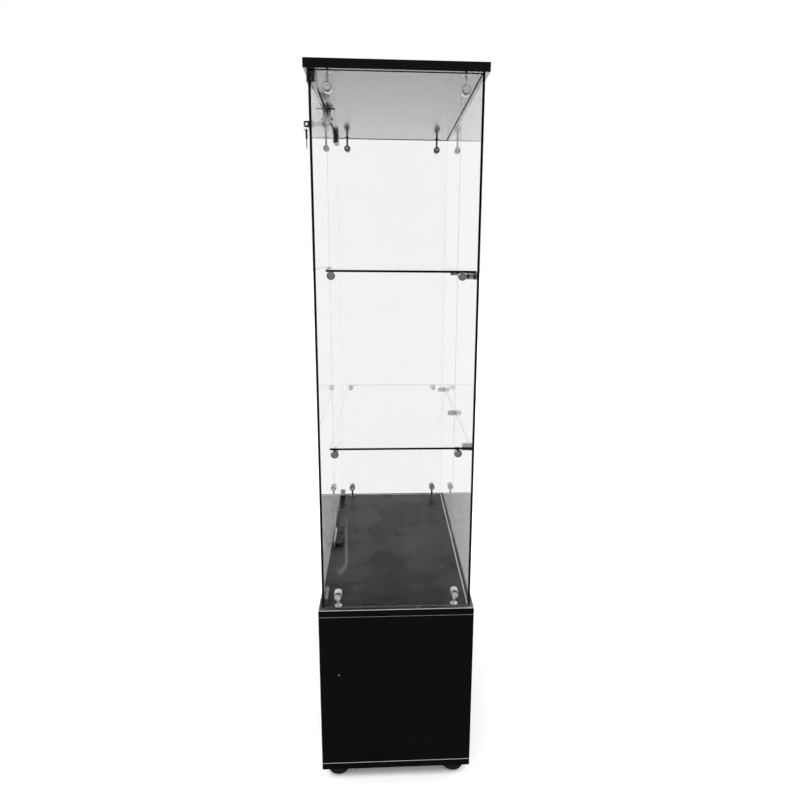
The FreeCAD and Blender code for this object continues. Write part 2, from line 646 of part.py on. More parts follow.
def key_outline(length):
    """Key in its own frame: hole centre at 0, head and blade run along +X in the XZ plane."""
    half_w = HEAD_W / 2
    head = block(-HEAD_HOLE_EDGE, HEAD_L - HEAD_HOLE_EDGE, -HEAD_T / 2, HEAD_T / 2, -half_w, half_w)
    head = head.makeFillet(5.0, [e for e in head.Edges if e.BoundBox.YLength > HEAD_T - 1e-6])
    head = head.cut(rod(vec(0, -HEAD_T, 0), Y_AXIS, HEAD_HOLE_R, 2 * HEAD_T))
    start = HEAD_L - HEAD_HOLE_EDGE
    blade = block(start - 8.0, start + length, -KEY_T / 2, KEY_T / 2, -KEY_H / 2, KEY_H / 2)
    tip = [e for e in blade.Edges if abs(e.BoundBox.Center.x - start - length) < 1e-6 and e.BoundBox.YLength > 1]
    blade = blade.makeChamfer(2.0, tip)
    for i, depth in enumerate((1.2, 2.0, 0.9, 1.6, 1.2)):
        x = start + 6.0 + 3.2 * i
        notch = Part.Face(Part.makePolygon([vec(x - depth - 0.4, -2, KEY_H / 2 + 0.4), vec(x + depth + 0.4, -2, KEY_H / 2 + 0.4),
                                            vec(x, -2, KEY_H / 2 - depth), vec(x - depth - 0.4, -2, KEY_H / 2 + 0.4)]))
        blade = blade.cut(notch.extrude(vec(0, 4, 0)))
    return head.cut(blade), blade


def placed_key(hole, rotation):
    head, blade = key_outline(BLADE_L)
    place = FreeCAD.Placement(hole, rotation)
    head.Placement = place
    blade.Placement = place
    return head, blade


KEY_HOLE = vec(BARREL_FACE_X - KEY_SHOULDER - (HEAD_L - HEAD_HOLE_EDGE), LOCK_Y, LOCK_Z)
RING_CENTRE = KEY_HOLE - Z_AXIS * (RING_HANG + RING_R)
SPARE_HOLE = RING_CENTRE - Z_AXIS * (RING_R + SPARE_HANG)
FRAME_X = -(KEY_HOLE.x - HEAD_HOLE_EDGE + HALF_W) / 2


def key_ring():
    normal = vec(-math.sin(math.radians(RING_TURN)), math.cos(math.radians(RING_TURN)), 0)
    return Part.makeTorus(RING_R, WIRE_R, RING_CENTRE, normal)


# ---- bolt of the left door -----------------------------------------------------------
SADDLE_Y0 = 3.5
SADDLE_L = 20.0
SADDLE_OUT_T = 3.7
SADDLE_IN_T = 11.0
SADDLE_DEPTH = 18.0
BOLT_PIN_R = 3.0
BOLT_X = DOOR_X1 + 5.5
BOLT_Y = SADDLE_Y0 + SADDLE_L / 2
BOLT_TRAVEL = 8.0
BOLT_TOP_Z = DOOR_Z1 + 3.0
SADDLE_LOW_Z = DOOR_Z1 - SADDLE_DEPTH
SADDLE_TOP_Z = DOOR_Z1 + 3.4
SADDLE_FACE_X = DOOR_X1 + SADDLE_IN_T
STEM_R = 1.5
STEM_CLEAR = 0.3
STEM_Z = SADDLE_LOW_Z + 6.0
KNOB_R = 4.0
KNOB_T = 5.0
KNOB_GAP = 0.4
BOLT_KEEPER_R = 6.0
BOLT_KEEPER_BORE_R = 4.4
BOLT_KEEPER_T = 12.0


def bolt_saddle():
    """Rounded casting over the left door's top edge that guides the bolt."""
    x0 = DOOR_X0 - SADDLE_OUT_T
    body = block(x0, SADDLE_FACE_X, SADDLE_Y0, SADDLE_Y0 + SADDLE_L, SADDLE_LOW_Z, SADDLE_TOP_Z)
    long_edges = [e for e in body.Edges if e.BoundBox.YLength > SADDLE_L - 1e-6]
    top_edges = [e for e in long_edges if e.BoundBox.Center.z > SADDLE_TOP_Z - 1e-6]
    low_inner = [e for e in long_edges if e.BoundBox.Center.z < SADDLE_TOP_Z - 1 and e.BoundBox.Center.x > DOOR_X1]
    body = body.makeFillet(3.2, top_edges + low_inner)
    glass_slot = block(DOOR_X0, DOOR_X1, 0, 2 * SADDLE_L, SADDLE_LOW_Z - 1, DOOR_Z1)
    bore = rod(vec(BOLT_X, BOLT_Y, SADDLE_LOW_Z - 1), Z_AXIS, BOLT_PIN_R + PIN_FIT, 2 * SADDLE_DEPTH)
    half_w = STEM_R + STEM_CLEAR
    stem_slot = block(BOLT_X, SADDLE_FACE_X + 1, BOLT_Y - half_w, BOLT_Y + half_w,
                      STEM_Z - half_w, STEM_Z + BOLT_TRAVEL + half_w)
    return cut_all(body, [glass_slot, bore, stem_slot])


def door_bolt():
    """Pin that slides up 8 mm into the roof, moved by a knob on its side."""
    low = SADDLE_LOW_Z + 1.0
    pin = rod(vec(BOLT_X, BOLT_Y, low), Z_AXIS, BOLT_PIN_R, BOLT_TOP_Z - low)
    pin = pin.makeFillet(1.0, [e for e in pin.Edges if abs(e.BoundBox.Center.z - BOLT_TOP_Z) < 1e-6])
    knob_x = SADDLE_FACE_X + KNOB_GAP
    stem = rod(vec(BOLT_X, BOLT_Y, STEM_Z), X_AXIS, STEM_R, knob_x - BOLT_X + 1)
    knob = rod(vec(knob_x, BOLT_Y, STEM_Z), X_AXIS, KNOB_R, KNOB_T)
    knob = knob.makeFillet(1.2, [e for e in knob.Edges if e.BoundBox.XLength < 1e-6])
    return pin.fuse(stem).fuse(knob).removeSplitter()


def bolt_keeper():
    """Bush in the roof that receives the bolt."""
    base = vec(BOLT_X, BOLT_Y, Z_ROOF)
    bore = rod(base, Z_AXIS, BOLT_KEEPER_BORE_R, BOLT_KEEPER_T - 2.0)
    return rod(base, Z_AXIS, BOLT_KEEPER_R, BOLT_KEEPER_T).cut(bore)


# ---- double magnetic catch at the foot of the doors ------------------------------------
CATCH_L = 96.0
CATCH_D = 26.0
CATCH_H = 14.0
CATCH_BACK_R = 24.0
STRIP_L = 43.0
STRIP_H = 20.0
STRIP_T = 1.5
STRIP_LOW = 3.0       # strip's lower edge above the deck, just below the glass
CATCH_GAP = 0.3
CATCH_X0 = DOOR_X1 + STRIP_T + CATCH_GAP
MAGNET_Y0 = 6.0        # each door's magnet, from the meeting line outwards
MAGNET_Y1 = 34.0
MAGNET_D = 7.0
POLE_D = 8.0
POLE_T = 1.5
POLE_LOW_Z = Z_DECK + 3.0
POLE_HIGH_Z = Z_DECK + 11.0
CATCH_SCREW_Z = Z_DECK + 8.0
CATCH_SCREW_L = 20.0
CATCH_SCREW_IN = CATCH_SCREW_L - (CATCH_SCREW_Z - Z_DECK)   # how far it bites into the deck
CATCH_SCREW_PLACES = [(CATCH_X0 + 15.0, y) for y in (-22.0, 22.0)]


def catch_housing():
    """Half-round moulding, flat towards the doors, screwed down on the deck."""
    half = CATCH_L / 2
    body = block(CATCH_X0, CATCH_X0 + CATCH_D, -half, half, Z_DECK, Z_DECK + CATCH_H)
    back = [e for e in body.Edges if e.BoundBox.ZLength > CATCH_H - 1e-6 and e.BoundBox.Center.x > CATCH_X0 + 1]
    body = body.makeFillet(CATCH_BACK_R, back)
    top = [e for e in body.Edges if e.BoundBox.ZLength < 1e-6 and e.BoundBox.Center.z > Z_DECK + CATCH_H - 1e-6]
    body = body.makeFillet(1.5, top)
    pockets = [block(CATCH_X0 - 1, CATCH_X0 + POLE_D, sy * MAGNET_Y0, sy * MAGNET_Y1, POLE_LOW_Z, POLE_HIGH_Z)
               for sy in (-1, 1)]
    body = cut_all(body, pockets)
    for x, y in CATCH_SCREW_PLACES:
        body = body.cut(rod(vec(x, y, Z_DECK), Z_AXIS, 1.8, CATCH_H + 1))
        body = body.cut(rod(vec(x, y, CATCH_SCREW_Z), Z_AXIS, 3.8, CATCH_H))
    return body


def catch_poles(sy):
    """Two steel plates above and below one door's magnet."""
    levels = ((POLE_LOW_Z, POLE_LOW_Z + POLE_T), (POLE_HIGH_Z - POLE_T, POLE_HIGH_Z))
    return [block(CATCH_X0, CATCH_X0 + POLE_D, sy * MAGNET_Y0, sy * MAGNET_Y1, *level) for level in levels]


def catch_magnet(sy):
    return block(CATCH_X0 + POLE_D - MAGNET_D, CATCH_X0 + POLE_D, sy * MAGNET_Y0, sy * MAGNET_Y1,
                 POLE_LOW_Z + POLE_T, POLE_HIGH_Z - POLE_T)


def catch_screw(x, y):
    head = rod(vec(x, y, CATCH_SCREW_Z), Z_AXIS, 3.5, 2.4)
    shank = rod(vec(x, y, CATCH_SCREW_Z), -Z_AXIS, 1.8, CATCH_SCREW_L)
    body = head.fuse(shank).removeSplitter()
    return body.cut(block(x - 3, x + 3, y - 0.4, y + 0.4, CATCH_SCREW_Z + 1.2, CATCH_SCREW_Z + 3))


def door_strip(sy):
    """Steel plate bonded inside a door's lower meeting corner."""
    y0 = sy * (DOOR_MEET_Y + 1.5)
    strip = block(DOOR_X1, DOOR_X1 + STRIP_T, y0, y0 + sy * STRIP_L, Z_DECK + STRIP_LOW, Z_DECK + STRIP_LOW + STRIP_H)
    return strip.makeFillet(0.5, [e for e in strip.Edges if e.BoundBox.Center.x > DOOR_X1 + 1e-6 + STRIP_T / 2])


# ---- assembly ------------------------------------------------------------------------------
def build_boards(cuts):
    deck = rounded(block(-HALF_W, HALF_W, -HALF_L, HALF_L, Z_PANEL_HIGH, Z_DECK), EDGE_R)
    deck = cut_all(deck, cuts + bush_cuts(Z_DECK) + bracket_cuts(-1))
    for x, y in CATCH_SCREW_PLACES:
        deck = deck.cut(rod(vec(x, y, Z_DECK), -Z_AXIS, 1.8, CATCH_SCREW_IN + 0.5))
    save("deck_board", deck)

    roof = rounded(block(-HALF_W, HALF_W, -HALF_L, HALF_L, Z_ROOF, HEIGHT), EDGE_R)
    roof = cut_all(roof, bush_cuts(Z_ROOF) + bracket_cuts(1))
    for x, y in strike_screw_places():
        roof = roof.cut(rod(vec(x, y, Z_ROOF), Z_AXIS, 1.7, 14.5))
    roof = roof.cut(rod(vec(BOLT_X, BOLT_Y, Z_ROOF), Z_AXIS, BOLT_KEEPER_R, BOLT_KEEPER_T))
    save("roof_board", roof)


def build_fixed_glass():
    save("right_end_glass", end_glass(-1))
    save("left_end_glass", end_glass(1))
    save("back_glass_right", back_glass(-1))
    save("back_glass_left", back_glass(1))
    save("back_glass_seals", back_joint_seal() + [corner_seal(-1), corner_seal(1)])
    save("lower_shelf", shelf(SHELF_Z[0]))
    save("upper_shelf", shelf(SHELF_Z[1]))


def build_fittings():
    for sy, end in ((-1, "right"), (1, "left")):
        save(end + "_end_brackets", [bracket(sx, sy, out) for out in (1, -1) for sx in (-1, 1)])
    places = [(sx, sy, out) for sx, sy in corners() for out in (-1, 1)]
    save("bracket_bolts", [bracket_bolt(*place) for place in places])

    caps = []
    washers = []
    for sx, sy, out in places:
        face = Z_ROOF if out > 0 else Z_DECK
        z = face - out * BRACKET_DROP
        outward = Y_AXIS * sy
        caps.append(cap(vec(sx * FITTING_X, sy * (GLASS_Y + WASHER_T), z), outward))
        washers.append(washer(vec(sx * FITTING_X, sy * GLASS_Y, z), outward))
        washers.append(washer(vec(sx * FITTING_X, sy * INNER_Y, z), -outward))
    sleeves = []
    for z, level in zip(end_stud_z(), ("lower", "upper")):
        studs = []
        for point, inward in stud_places(z):
            studs.append(shelf_stud(point, inward))
            sleeves.append(stud_sleeve(point, inward))
            outer = point - inward * GLASS_T
            caps.append(cap(outer - inward * WASHER_T, -inward))
            washers.append(washer(outer, -inward))
            washers.append(washer(point, inward))
        save(level + "_shelf_studs", studs)
    save("glass_caps", caps)
    save("glass_washers", washers)
    save("stud_sleeves", sleeves)


def build_doors():
    save("pivot_bushes", [bush(*place) for place in pivot_places()])
    for sy, door in ((-1, "right"), (1, "left")):
        glass = door_glass(sy)
        if sy < 0:
            glass = glass.cut(rod(vec(-HALF_W, LOCK_Y, LOCK_Z), X_AXIS, BARREL_R, 2 * GLASS_INSET))
        save(door + "_door_glass", glass)
        ends = ((DOOR_Z1, 1), (DOOR_Z0, -1))
        save(door + "_door_clamps", [clamp(sy, edge, out) for edge, out in ends])
        save(door + "_clamp_liners", [clamp_liner(sy, edge, out) for edge, out in ends])
        save(door + "_pivot_pins", [pivot_pin(sy, edge, out) for edge, out in ends])
        save(door + "_grub_screws", [grub_screw(sy, edge, out, offset) for edge, out in ends for offset in GRUB_OFFSETS])
        save(door + "_door_strike_strip", door_strip(sy))
    save("catch_housing", catch_housing())
    save("catch_magnets", [catch_magnet(-1), catch_magnet(1)])
    save("catch_pole_plates", catch_poles(-1) + catch_poles(1))
    save("catch_screws", [catch_screw(*place) for place in CATCH_SCREW_PLACES])


def build_lock():
    save("lock_barrel", lock_barrel())
    save("lock_nut", lock_nut())
    save("lock_plug", lock_plug())
    save("lock_cam", lock_cam())
    save("lock_cam_screw", lock_cam_screw())
    save("lock_strike", lock_strike())
    save("strike_screws", [csk_screw(x, y, Z_ROOF, 1, 14.0) for x, y in strike_screw_places()])
    head, blade = placed_key(KEY_HOLE, FreeCAD.Rotation())
    save("key_head", head)
    save("key_blade", blade)
    save("key_ring", key_ring())
    hanging = FreeCAD.Rotation(-Z_AXIS, X_AXIS, Y_AXIS, "XYZ")
    head, blade = placed_key(SPARE_HOLE, hanging)
    save("spare_key_head", head)
    save("spare_key_blade", blade)
    save("bolt_saddle", bolt_saddle())
    save("door_bolt", door_bolt())
    save("bolt_keeper", bolt_keeper())


panel_cuts = build_plinth()
build_boards(panel_cuts)
build_fixed_glass()
build_fittings()
build_doors()
build_lock()
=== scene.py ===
"""Looks of the glass display case: finishes, glass, floor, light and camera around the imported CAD."""

import json
import math

import bpy
from mathutils import Matrix, Vector

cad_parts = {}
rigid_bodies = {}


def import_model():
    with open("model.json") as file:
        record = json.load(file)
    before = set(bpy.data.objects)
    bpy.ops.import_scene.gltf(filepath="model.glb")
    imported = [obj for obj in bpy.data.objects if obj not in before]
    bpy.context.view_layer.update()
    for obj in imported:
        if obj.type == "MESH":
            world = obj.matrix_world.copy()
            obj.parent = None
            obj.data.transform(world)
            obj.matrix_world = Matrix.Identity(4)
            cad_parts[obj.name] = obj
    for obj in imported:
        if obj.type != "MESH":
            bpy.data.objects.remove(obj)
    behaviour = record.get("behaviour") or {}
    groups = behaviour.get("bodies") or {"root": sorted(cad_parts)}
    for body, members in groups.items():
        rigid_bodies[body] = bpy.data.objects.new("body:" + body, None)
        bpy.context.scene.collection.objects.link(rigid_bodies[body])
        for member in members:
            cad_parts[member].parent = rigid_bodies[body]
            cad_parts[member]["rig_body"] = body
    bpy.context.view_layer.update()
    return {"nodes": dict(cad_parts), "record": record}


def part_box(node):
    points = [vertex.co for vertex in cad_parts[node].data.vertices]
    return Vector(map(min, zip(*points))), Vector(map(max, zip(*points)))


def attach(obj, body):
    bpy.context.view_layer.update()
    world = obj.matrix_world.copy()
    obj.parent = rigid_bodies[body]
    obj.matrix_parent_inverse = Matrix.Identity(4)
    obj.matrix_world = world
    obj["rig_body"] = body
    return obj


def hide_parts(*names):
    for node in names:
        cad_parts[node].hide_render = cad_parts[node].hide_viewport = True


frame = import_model()
MM = 0.001

# ---- where things are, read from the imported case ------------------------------
roof_low, roof_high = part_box("roof_board")
deck_low, deck_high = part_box("deck_board")
bottom_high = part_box("bottom_board")[1]
CASE_X = (roof_low.x + roof_high.x) / 2
BODY_OF = {node: obj["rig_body"] for node, obj in frame["nodes"].items()}

# ---- camera --------------------------------------------------------------------
CAMERA_FROM_CASE = Vector((-31.2, -1816.2, 1389.3)) * MM    # from the middle of the case's foot
CAMERA_PITCH = math.radians(12.37)
CAMERA_YAW = math.radians(3.16)
CAMERA_ROLL = math.radians(0.49)
SENSOR = 36.0
LENS = 27.58
SHIFT_X = -0.0209
SHIFT_Y = -0.0089


def camera_axes():
    """Right, up and forward of the camera: yaw, then pitch, then roll."""
    turn = (
        Matrix.Rotation(CAMERA_ROLL, 3, "Y")
        @ Matrix.Rotation(CAMERA_PITCH, 3, "X")
        @ Matrix.Rotation(CAMERA_YAW, 3, "Z")
    )
    return turn[0], turn[2], turn[1]


def place_camera():
    data = bpy.data.cameras.new("case_camera")
    data.sensor_width = SENSOR
    data.lens = LENS
    data.shift_x = SHIFT_X
    data.shift_y = SHIFT_Y
    data.clip_end = 200.0
    camera = bpy.data.objects.new("case_camera", data)
    bpy.context.scene.collection.objects.link(camera)
    right, up, forward = camera_axes()
    turn = Matrix((right, up, -forward)).transposed()
    camera.matrix_world = Matrix.Translation(CAMERA_FROM_CASE + Vector((CASE_X, 0, 0))) @ turn.to_4x4()
    bpy.context.scene.camera = camera


# ---- node helpers ----------------------------------------------------------------
class Nodes:
    """Short way to add and link shader nodes in one tree. A value may be a number or a socket."""

    def __init__(self, tree):
        self.tree = tree

    def add(self, kind, settings=None, **inputs):
        node = self.tree.nodes.new(kind)
        for name, value in (settings or {}).items():
            setattr(node, name, value)
        for name, value in inputs.items():
            self.put(node.inputs[name.replace("_", " ")], value)
        return node

    def put(self, socket, value):
        if isinstance(value, bpy.types.NodeSocket):
            self.tree.links.new(value, socket)
        else:
            socket.default_value = value

    def math(self, operation, first, second=0.0, clamp=False):
        node = self.add("ShaderNodeMath", {"operation": operation, "use_clamp": clamp})
        self.put(node.inputs[0], first)
        self.put(node.inputs[1], second)
        return node.outputs[0]

    def times(self, first, second):
        return self.math("MULTIPLY", first, second)

    def minus(self, first, second):
        return self.math("SUBTRACT", first, second)

    def ramp(self, value, low, high, to_low=0.0, to_high=1.0):
        node = self.add("ShaderNodeMapRange", {"interpolation_type": "SMOOTHSTEP"})
        for name, number in (("Value", value), ("From Min", low), ("From Max", high),
                             ("To Min", to_low), ("To Max", to_high)):
            self.put(node.inputs[name], number)
        return node.outputs["Result"]

    def mix(self, factor, first, second):
        """Colour between first and second."""
        node = self.add("ShaderNodeMix", {"data_type": "RGBA"})
        self.put(node.inputs["Factor"], factor)
        self.put(node.inputs[6], first)
        self.put(node.inputs[7], second)
        return node.outputs[2]

    def blend(self, factor, first, second):
        """Number between first and second."""
        node = self.add("ShaderNodeMix", {"data_type": "FLOAT"}, Factor=factor)
        self.put(node.inputs[2], first)
        self.put(node.inputs[3], second)
        return node.outputs[0]

    def noise(self, where, scale, detail=4.0, roughness=0.5, stretch=(1, 1, 1)):
        moved = self.add("ShaderNodeMapping", Vector=where, Scale=stretch).outputs[0]
        node = self.add("ShaderNodeTexNoise", Vector=moved, Scale=scale, Detail=detail, Roughness=roughness)
        return node.outputs["Fac"]

    def axis(self, vector, name):
        """One of X, Y and Z of a vector."""
        return self.add("ShaderNodeSeparateXYZ", Vector=vector).outputs[name]

    def group(self, group, **inputs):
        node = self.tree.nodes.new("ShaderNodeGroup")
        node.node_tree = group
        for name, value in inputs.items():
            self.put(node.inputs[name.replace("_", " ")], value)
        return node


def new_group(name, values_in, values_out):
    """Shader node group with named value sockets; returns (group, Nodes, inputs, outputs node)."""
    group = bpy.data.node_groups.new(name, "ShaderNodeTree")
    for label, default in values_in:
        socket = group.interface.new_socket(name=label, in_out="INPUT", socket_type="NodeSocketFloat")
        socket.default_value = default
    for label in values_out:
        group.interface.new_socket(name=label, in_out="OUTPUT", socket_type="NodeSocketFloat")
    nodes = Nodes(group)
    entry = group.nodes.new("NodeGroupInput")
    leave = group.nodes.new("NodeGroupOutput")
    return group, nodes, entry.outputs, leave


def make_fine_texture():
    """Small moulded or pressed surface texture: value for colour and roughness, height for bump."""
    group, nodes, given, leave = new_group(
        "fine_texture",
        [("Scale", 400.0), ("Cloud Scale", 9.0), ("Cloud Amount", 0.3)],
        ["Value", "Height"],
    )
    where = nodes.add("ShaderNodeTexCoord").outputs["Object"]
    grain = nodes.noise(where, given["Scale"], 3.0, 0.6)
    cloud = nodes.noise(where, given["Cloud Scale"], 5.0, 0.55)
    spread = nodes.times(nodes.minus(cloud, 0.5), given["Cloud Amount"])
    nodes.put(leave.inputs["Value"], nodes.math("ADD", grain, spread, clamp=True))
    nodes.put(leave.inputs["Height"], grain)
    return group


def make_dust_film():
    """Dust on upward faces, and specks on any face: masks 0 to 1.

    A cell of the speck pattern holds a speck when its draw is above the floor.
    """
    group, nodes, given, leave = new_group(
        "dust_film",
        [("Amount", 0.5), ("Patch Scale", 6.0), ("Speck Scale", 24.0), ("Speck Floor", 0.93)],
        ["Film", "Specks"],
    )
    coord = nodes.add("ShaderNodeTexCoord").outputs
    where = coord["Object"]
    level = nodes.ramp(nodes.axis(coord["Normal"], "Z"), 0.5, 0.95)
    patches = nodes.noise(where, given["Patch Scale"], 2.0, 0.4)
    wipes = nodes.noise(where, 3.0, 1.0, 0.4, (3.0, 0.7, 1.0))
    film = nodes.times(nodes.ramp(patches, 0.22, 0.78), nodes.ramp(wipes, 0.2, 0.8, 0.4, 1.0))
    nodes.put(leave.inputs["Film"], nodes.times(nodes.times(film, level), given["Amount"]))
    cells = nodes.add("ShaderNodeTexVoronoi", Vector=where, Scale=given["Speck Scale"], Randomness=1.0)
    dots = nodes.ramp(cells.outputs["Distance"], 0.03, 0.09, 1.0, 0.0)
    draw = nodes.add("ShaderNodeSeparateColor", Color=cells.outputs["Color"]).outputs[0]
    chosen = nodes.math("GREATER_THAN", draw, given["Speck Floor"])
    nodes.put(leave.inputs["Specks"], nodes.times(dots, chosen))
    return group


def make_handling_marks():
    """Fine hairline scratches and faint smudges of handled metal or glass."""
    group, nodes, given, leave = new_group(
        "handling_marks",
        [("Line Scale", 300.0), ("Smudge Scale", 14.0)],
        ["Lines", "Smudge"],
    )
    where = nodes.add("ShaderNodeTexCoord").outputs["Object"]
    lines = nodes.noise(where, given["Line Scale"], 2.0, 0.5, (1.0, 0.08, 1.0))
    smudge = nodes.noise(where, given["Smudge Scale"], 5.0, 0.6)
    nodes.put(leave.inputs["Lines"], lines)
    nodes.put(leave.inputs["Smudge"], nodes.ramp(smudge, 0.45, 0.8))
    return group


# Pale curved streak on the deck beside the doors, from the case's middle, in metres.
MARK_FOOT = Vector((-0.143, -0.135))
MARK_HEAD = Vector((-0.170, 0.30))
MARK_HOOK = Vector((0.016, 0.062))     # half width and half length of its hooked near end
MARK_JOIN = 0.004                      # the run and the hook blend over this much either side of the foot
MARK_FADE = 0.1                        # the mark fades from here along its run
MARK_REACH = 0.007                     # half width of the mark's line


def make_pale_streak():
    """Mask 0 to 1 of the mark: a straight run along the doors that ends in a hook."""
    group, nodes, given, leave = new_group("pale_streak", [("Reach", MARK_REACH)], ["Mask"])
    place = nodes.add("ShaderNodeNewGeometry").outputs["Position"]
    along = nodes.minus(nodes.axis(place, "Y"), MARK_FOOT.y)
    across = nodes.minus(nodes.axis(place, "X"), CASE_X + MARK_FOOT.x)
    run = MARK_HEAD.y - MARK_FOOT.y
    lean = (MARK_HEAD.x - MARK_FOOT.x) / run
    from_run = nodes.math("ABSOLUTE", nodes.minus(across, nodes.times(along, lean)))
    wide = nodes.math("DIVIDE", nodes.math("ADD", across, MARK_HOOK.x), MARK_HOOK.x)
    long = nodes.math("DIVIDE", along, MARK_HOOK.y)
    radius = nodes.math("SQRT", nodes.math("ADD", nodes.times(wide, wide), nodes.times(long, long)))
    from_hook = nodes.times(nodes.math("ABSOLUTE", nodes.minus(radius, 1.0)), MARK_HOOK.x)
    past_foot = nodes.ramp(along, -MARK_JOIN, MARK_JOIN)
    gap = nodes.blend(past_foot, from_hook, from_run)
    line = nodes.math("SUBTRACT", 1.0, nodes.math("DIVIDE", gap, given["Reach"]), clamp=True)
    faint_head = nodes.ramp(along, MARK_FADE, run, 1.0, 0.0)
    faint_hook = nodes.ramp(wide, -0.8, 0.4)
    nodes.put(leave.inputs["Mask"], nodes.times(line, nodes.times(faint_head, faint_hook)))
    return group


PALE_STREAK = make_pale_streak()
FINE_TEXTURE = make_fine_texture()
DUST_FILM = make_dust_film()
HANDLING_MARKS = make_handling_marks()


def new_material(name):
    material = bpy.data.materials.new(name)
    material.use_nodes = True
    nodes = Nodes(material.node_tree)
    shader = material.node_tree.nodes["Principled BSDF"]
    return material, nodes, shader


def bump(nodes, height, strength, distance):
    node = nodes.add("ShaderNodeBump", Height=height, Strength=strength, Distance=distance)
    return node.outputs["Normal"]


# ---- finishes -----------------------------------------------------------------------
PEARL_DARK = (0.0015, 0.0015, 0.0015, 1)
PEARL_LIGHT = (0.004, 0.004, 0.00408, 1)
DUST_COLOUR = (0.12, 0.119, 0.118, 1)
MARK_COLOUR = (0.2, 0.2, 0.2, 1)
SPECK_COLOUR = (0.35, 0.35, 0.34, 1)


def black_laminate(name, film=0.35, gloss=0.0, ior=1.32, marked=False, speck_floor=0.93):
    """Satin black melamine: pressed pearl texture, a thin dust film on top faces, rare specks."""
    material, nodes, shader = new_material(name)
    texture = nodes.group(FINE_TEXTURE, Scale=900.0, Cloud_Scale=7.0, Cloud_Amount=0.5)
    dust = nodes.group(DUST_FILM, Amount=film, Patch_Scale=5.0, Speck_Scale=24.0, Speck_Floor=speck_floor)
    base = nodes.mix(texture.outputs["Value"], PEARL_DARK, PEARL_LIGHT)
    dusty = nodes.mix(dust.outputs["Film"], base, DUST_COLOUR)
    if marked:
        mark = nodes.group(PALE_STREAK, Reach=MARK_REACH)
        dusty = nodes.mix(mark.outputs["Mask"], dusty, MARK_COLOUR)
    nodes.put(shader.inputs["Base Color"], nodes.mix(dust.outputs["Specks"], dusty, SPECK_COLOUR))
    clean = nodes.ramp(texture.outputs["Value"], 0.2, 0.8, 0.16, 0.24)
    dulled = nodes.times(dust.outputs["Film"], 0.35)
    nodes.put(shader.inputs["Roughness"], nodes.math("ADD", clean, dulled))
    nodes.put(shader.inputs["Normal"], bump(nodes, texture.outputs["Height"], 0.08, 0.0002))
    shader.inputs["IOR"].default_value = ior
    if gloss:
        shader.inputs["Coat Weight"].default_value = gloss
        shader.inputs["Coat IOR"].default_value = 1.5
        shader.inputs["Coat Roughness"].default_value = 0.12
    return material


def clear_glass():
    """Toughened float glass with the faintest smudges."""
    material, nodes, shader = new_material("clear_glass")
    marks = nodes.group(HANDLING_MARKS, Line_Scale=120.0, Smudge_Scale=9.0)
    tint = nodes.mix(marks.outputs["Smudge"], (0.973, 0.977, 0.98, 1), (0.969, 0.973, 0.976, 1))
    nodes.put(shader.inputs["Base Color"], tint)
    shader.inputs["Roughness"].default_value = 0.0
    shader.inputs["Metallic"].default_value = 0.0
    shader.inputs["Transmission Weight"].default_value = 1.0
    shader.inputs["IOR"].default_value = 1.33
    return material


def glass_edge(name, dark, light, glow=0.0):
    """Ground edge of the glass, with fine grinding lines; its dark, light and glowing copies carry painted
    shade, painted highlight and painted light.
    """
    material, nodes, shader = new_material(name)
    marks = nodes.group(HANDLING_MARKS, Line_Scale=900.0, Smudge_Scale=30.0)
    nodes.put(shader.inputs["Base Color"], nodes.mix(marks.outputs["Lines"], dark, light))
    nodes.put(shader.inputs["Roughness"], nodes.ramp(marks.outputs["Lines"], 0.3, 0.7, 0.22, 0.38))
    nodes.put(shader.inputs["Normal"], bump(nodes, marks.outputs["Lines"], 0.15, 0.0002))
    shader.inputs["IOR"].default_value = 1.3
    # painted light: a glow on the pale far edges, which are no lamp
    shader.inputs["Emission Color"].default_value = (0.95, 1.0, 0.99, 1)
    shader.inputs["Emission Strength"].default_value = glow
    return material


SMUDGE_DULLING = 0.86


def metal(name, colour, rough_low, rough_high, line_scale, line_strength, metallic=1.0):
    """Polished or brushed metal with fine lines and handling smudges."""
    material, nodes, shader = new_material(name)
    marks = nodes.group(HANDLING_MARKS, Line_Scale=line_scale, Smudge_Scale=60.0)
    dull = tuple(channel * SMUDGE_DULLING for channel in colour[:3]) + (1,)
    nodes.put(shader.inputs["Base Color"], nodes.mix(marks.outputs["Smudge"], colour, dull))
    rough = nodes.ramp(marks.outputs["Lines"], 0.3, 0.7, rough_low, rough_high)
    nodes.put(shader.inputs["Roughness"], rough)
    nodes.put(shader.inputs["Normal"], bump(nodes, marks.outputs["Lines"], line_strength, 0.0001))
    shader.inputs["Metallic"].default_value = metallic
    return material


def moulded(name, dark, light, rough_low, rough_high, grain=1500.0, strength=0.25):
    """Moulded plastic or rubber with a fine eroded texture."""
    material, nodes, shader = new_material(name)
    texture = nodes.group(FINE_TEXTURE, Scale=grain, Cloud_Scale=40.0, Cloud_Amount=0.6)
    nodes.put(shader.inputs["Base Color"], nodes.mix(texture.outputs["Value"], dark, light))
    rough = nodes.ramp(texture.outputs["Value"], 0.2, 0.8, rough_low, rough_high)
    nodes.put(shader.inputs["Roughness"], rough)
    nodes.put(shader.inputs["Normal"], bump(nodes, texture.outputs["Height"], strength, 0.0002))
    return material


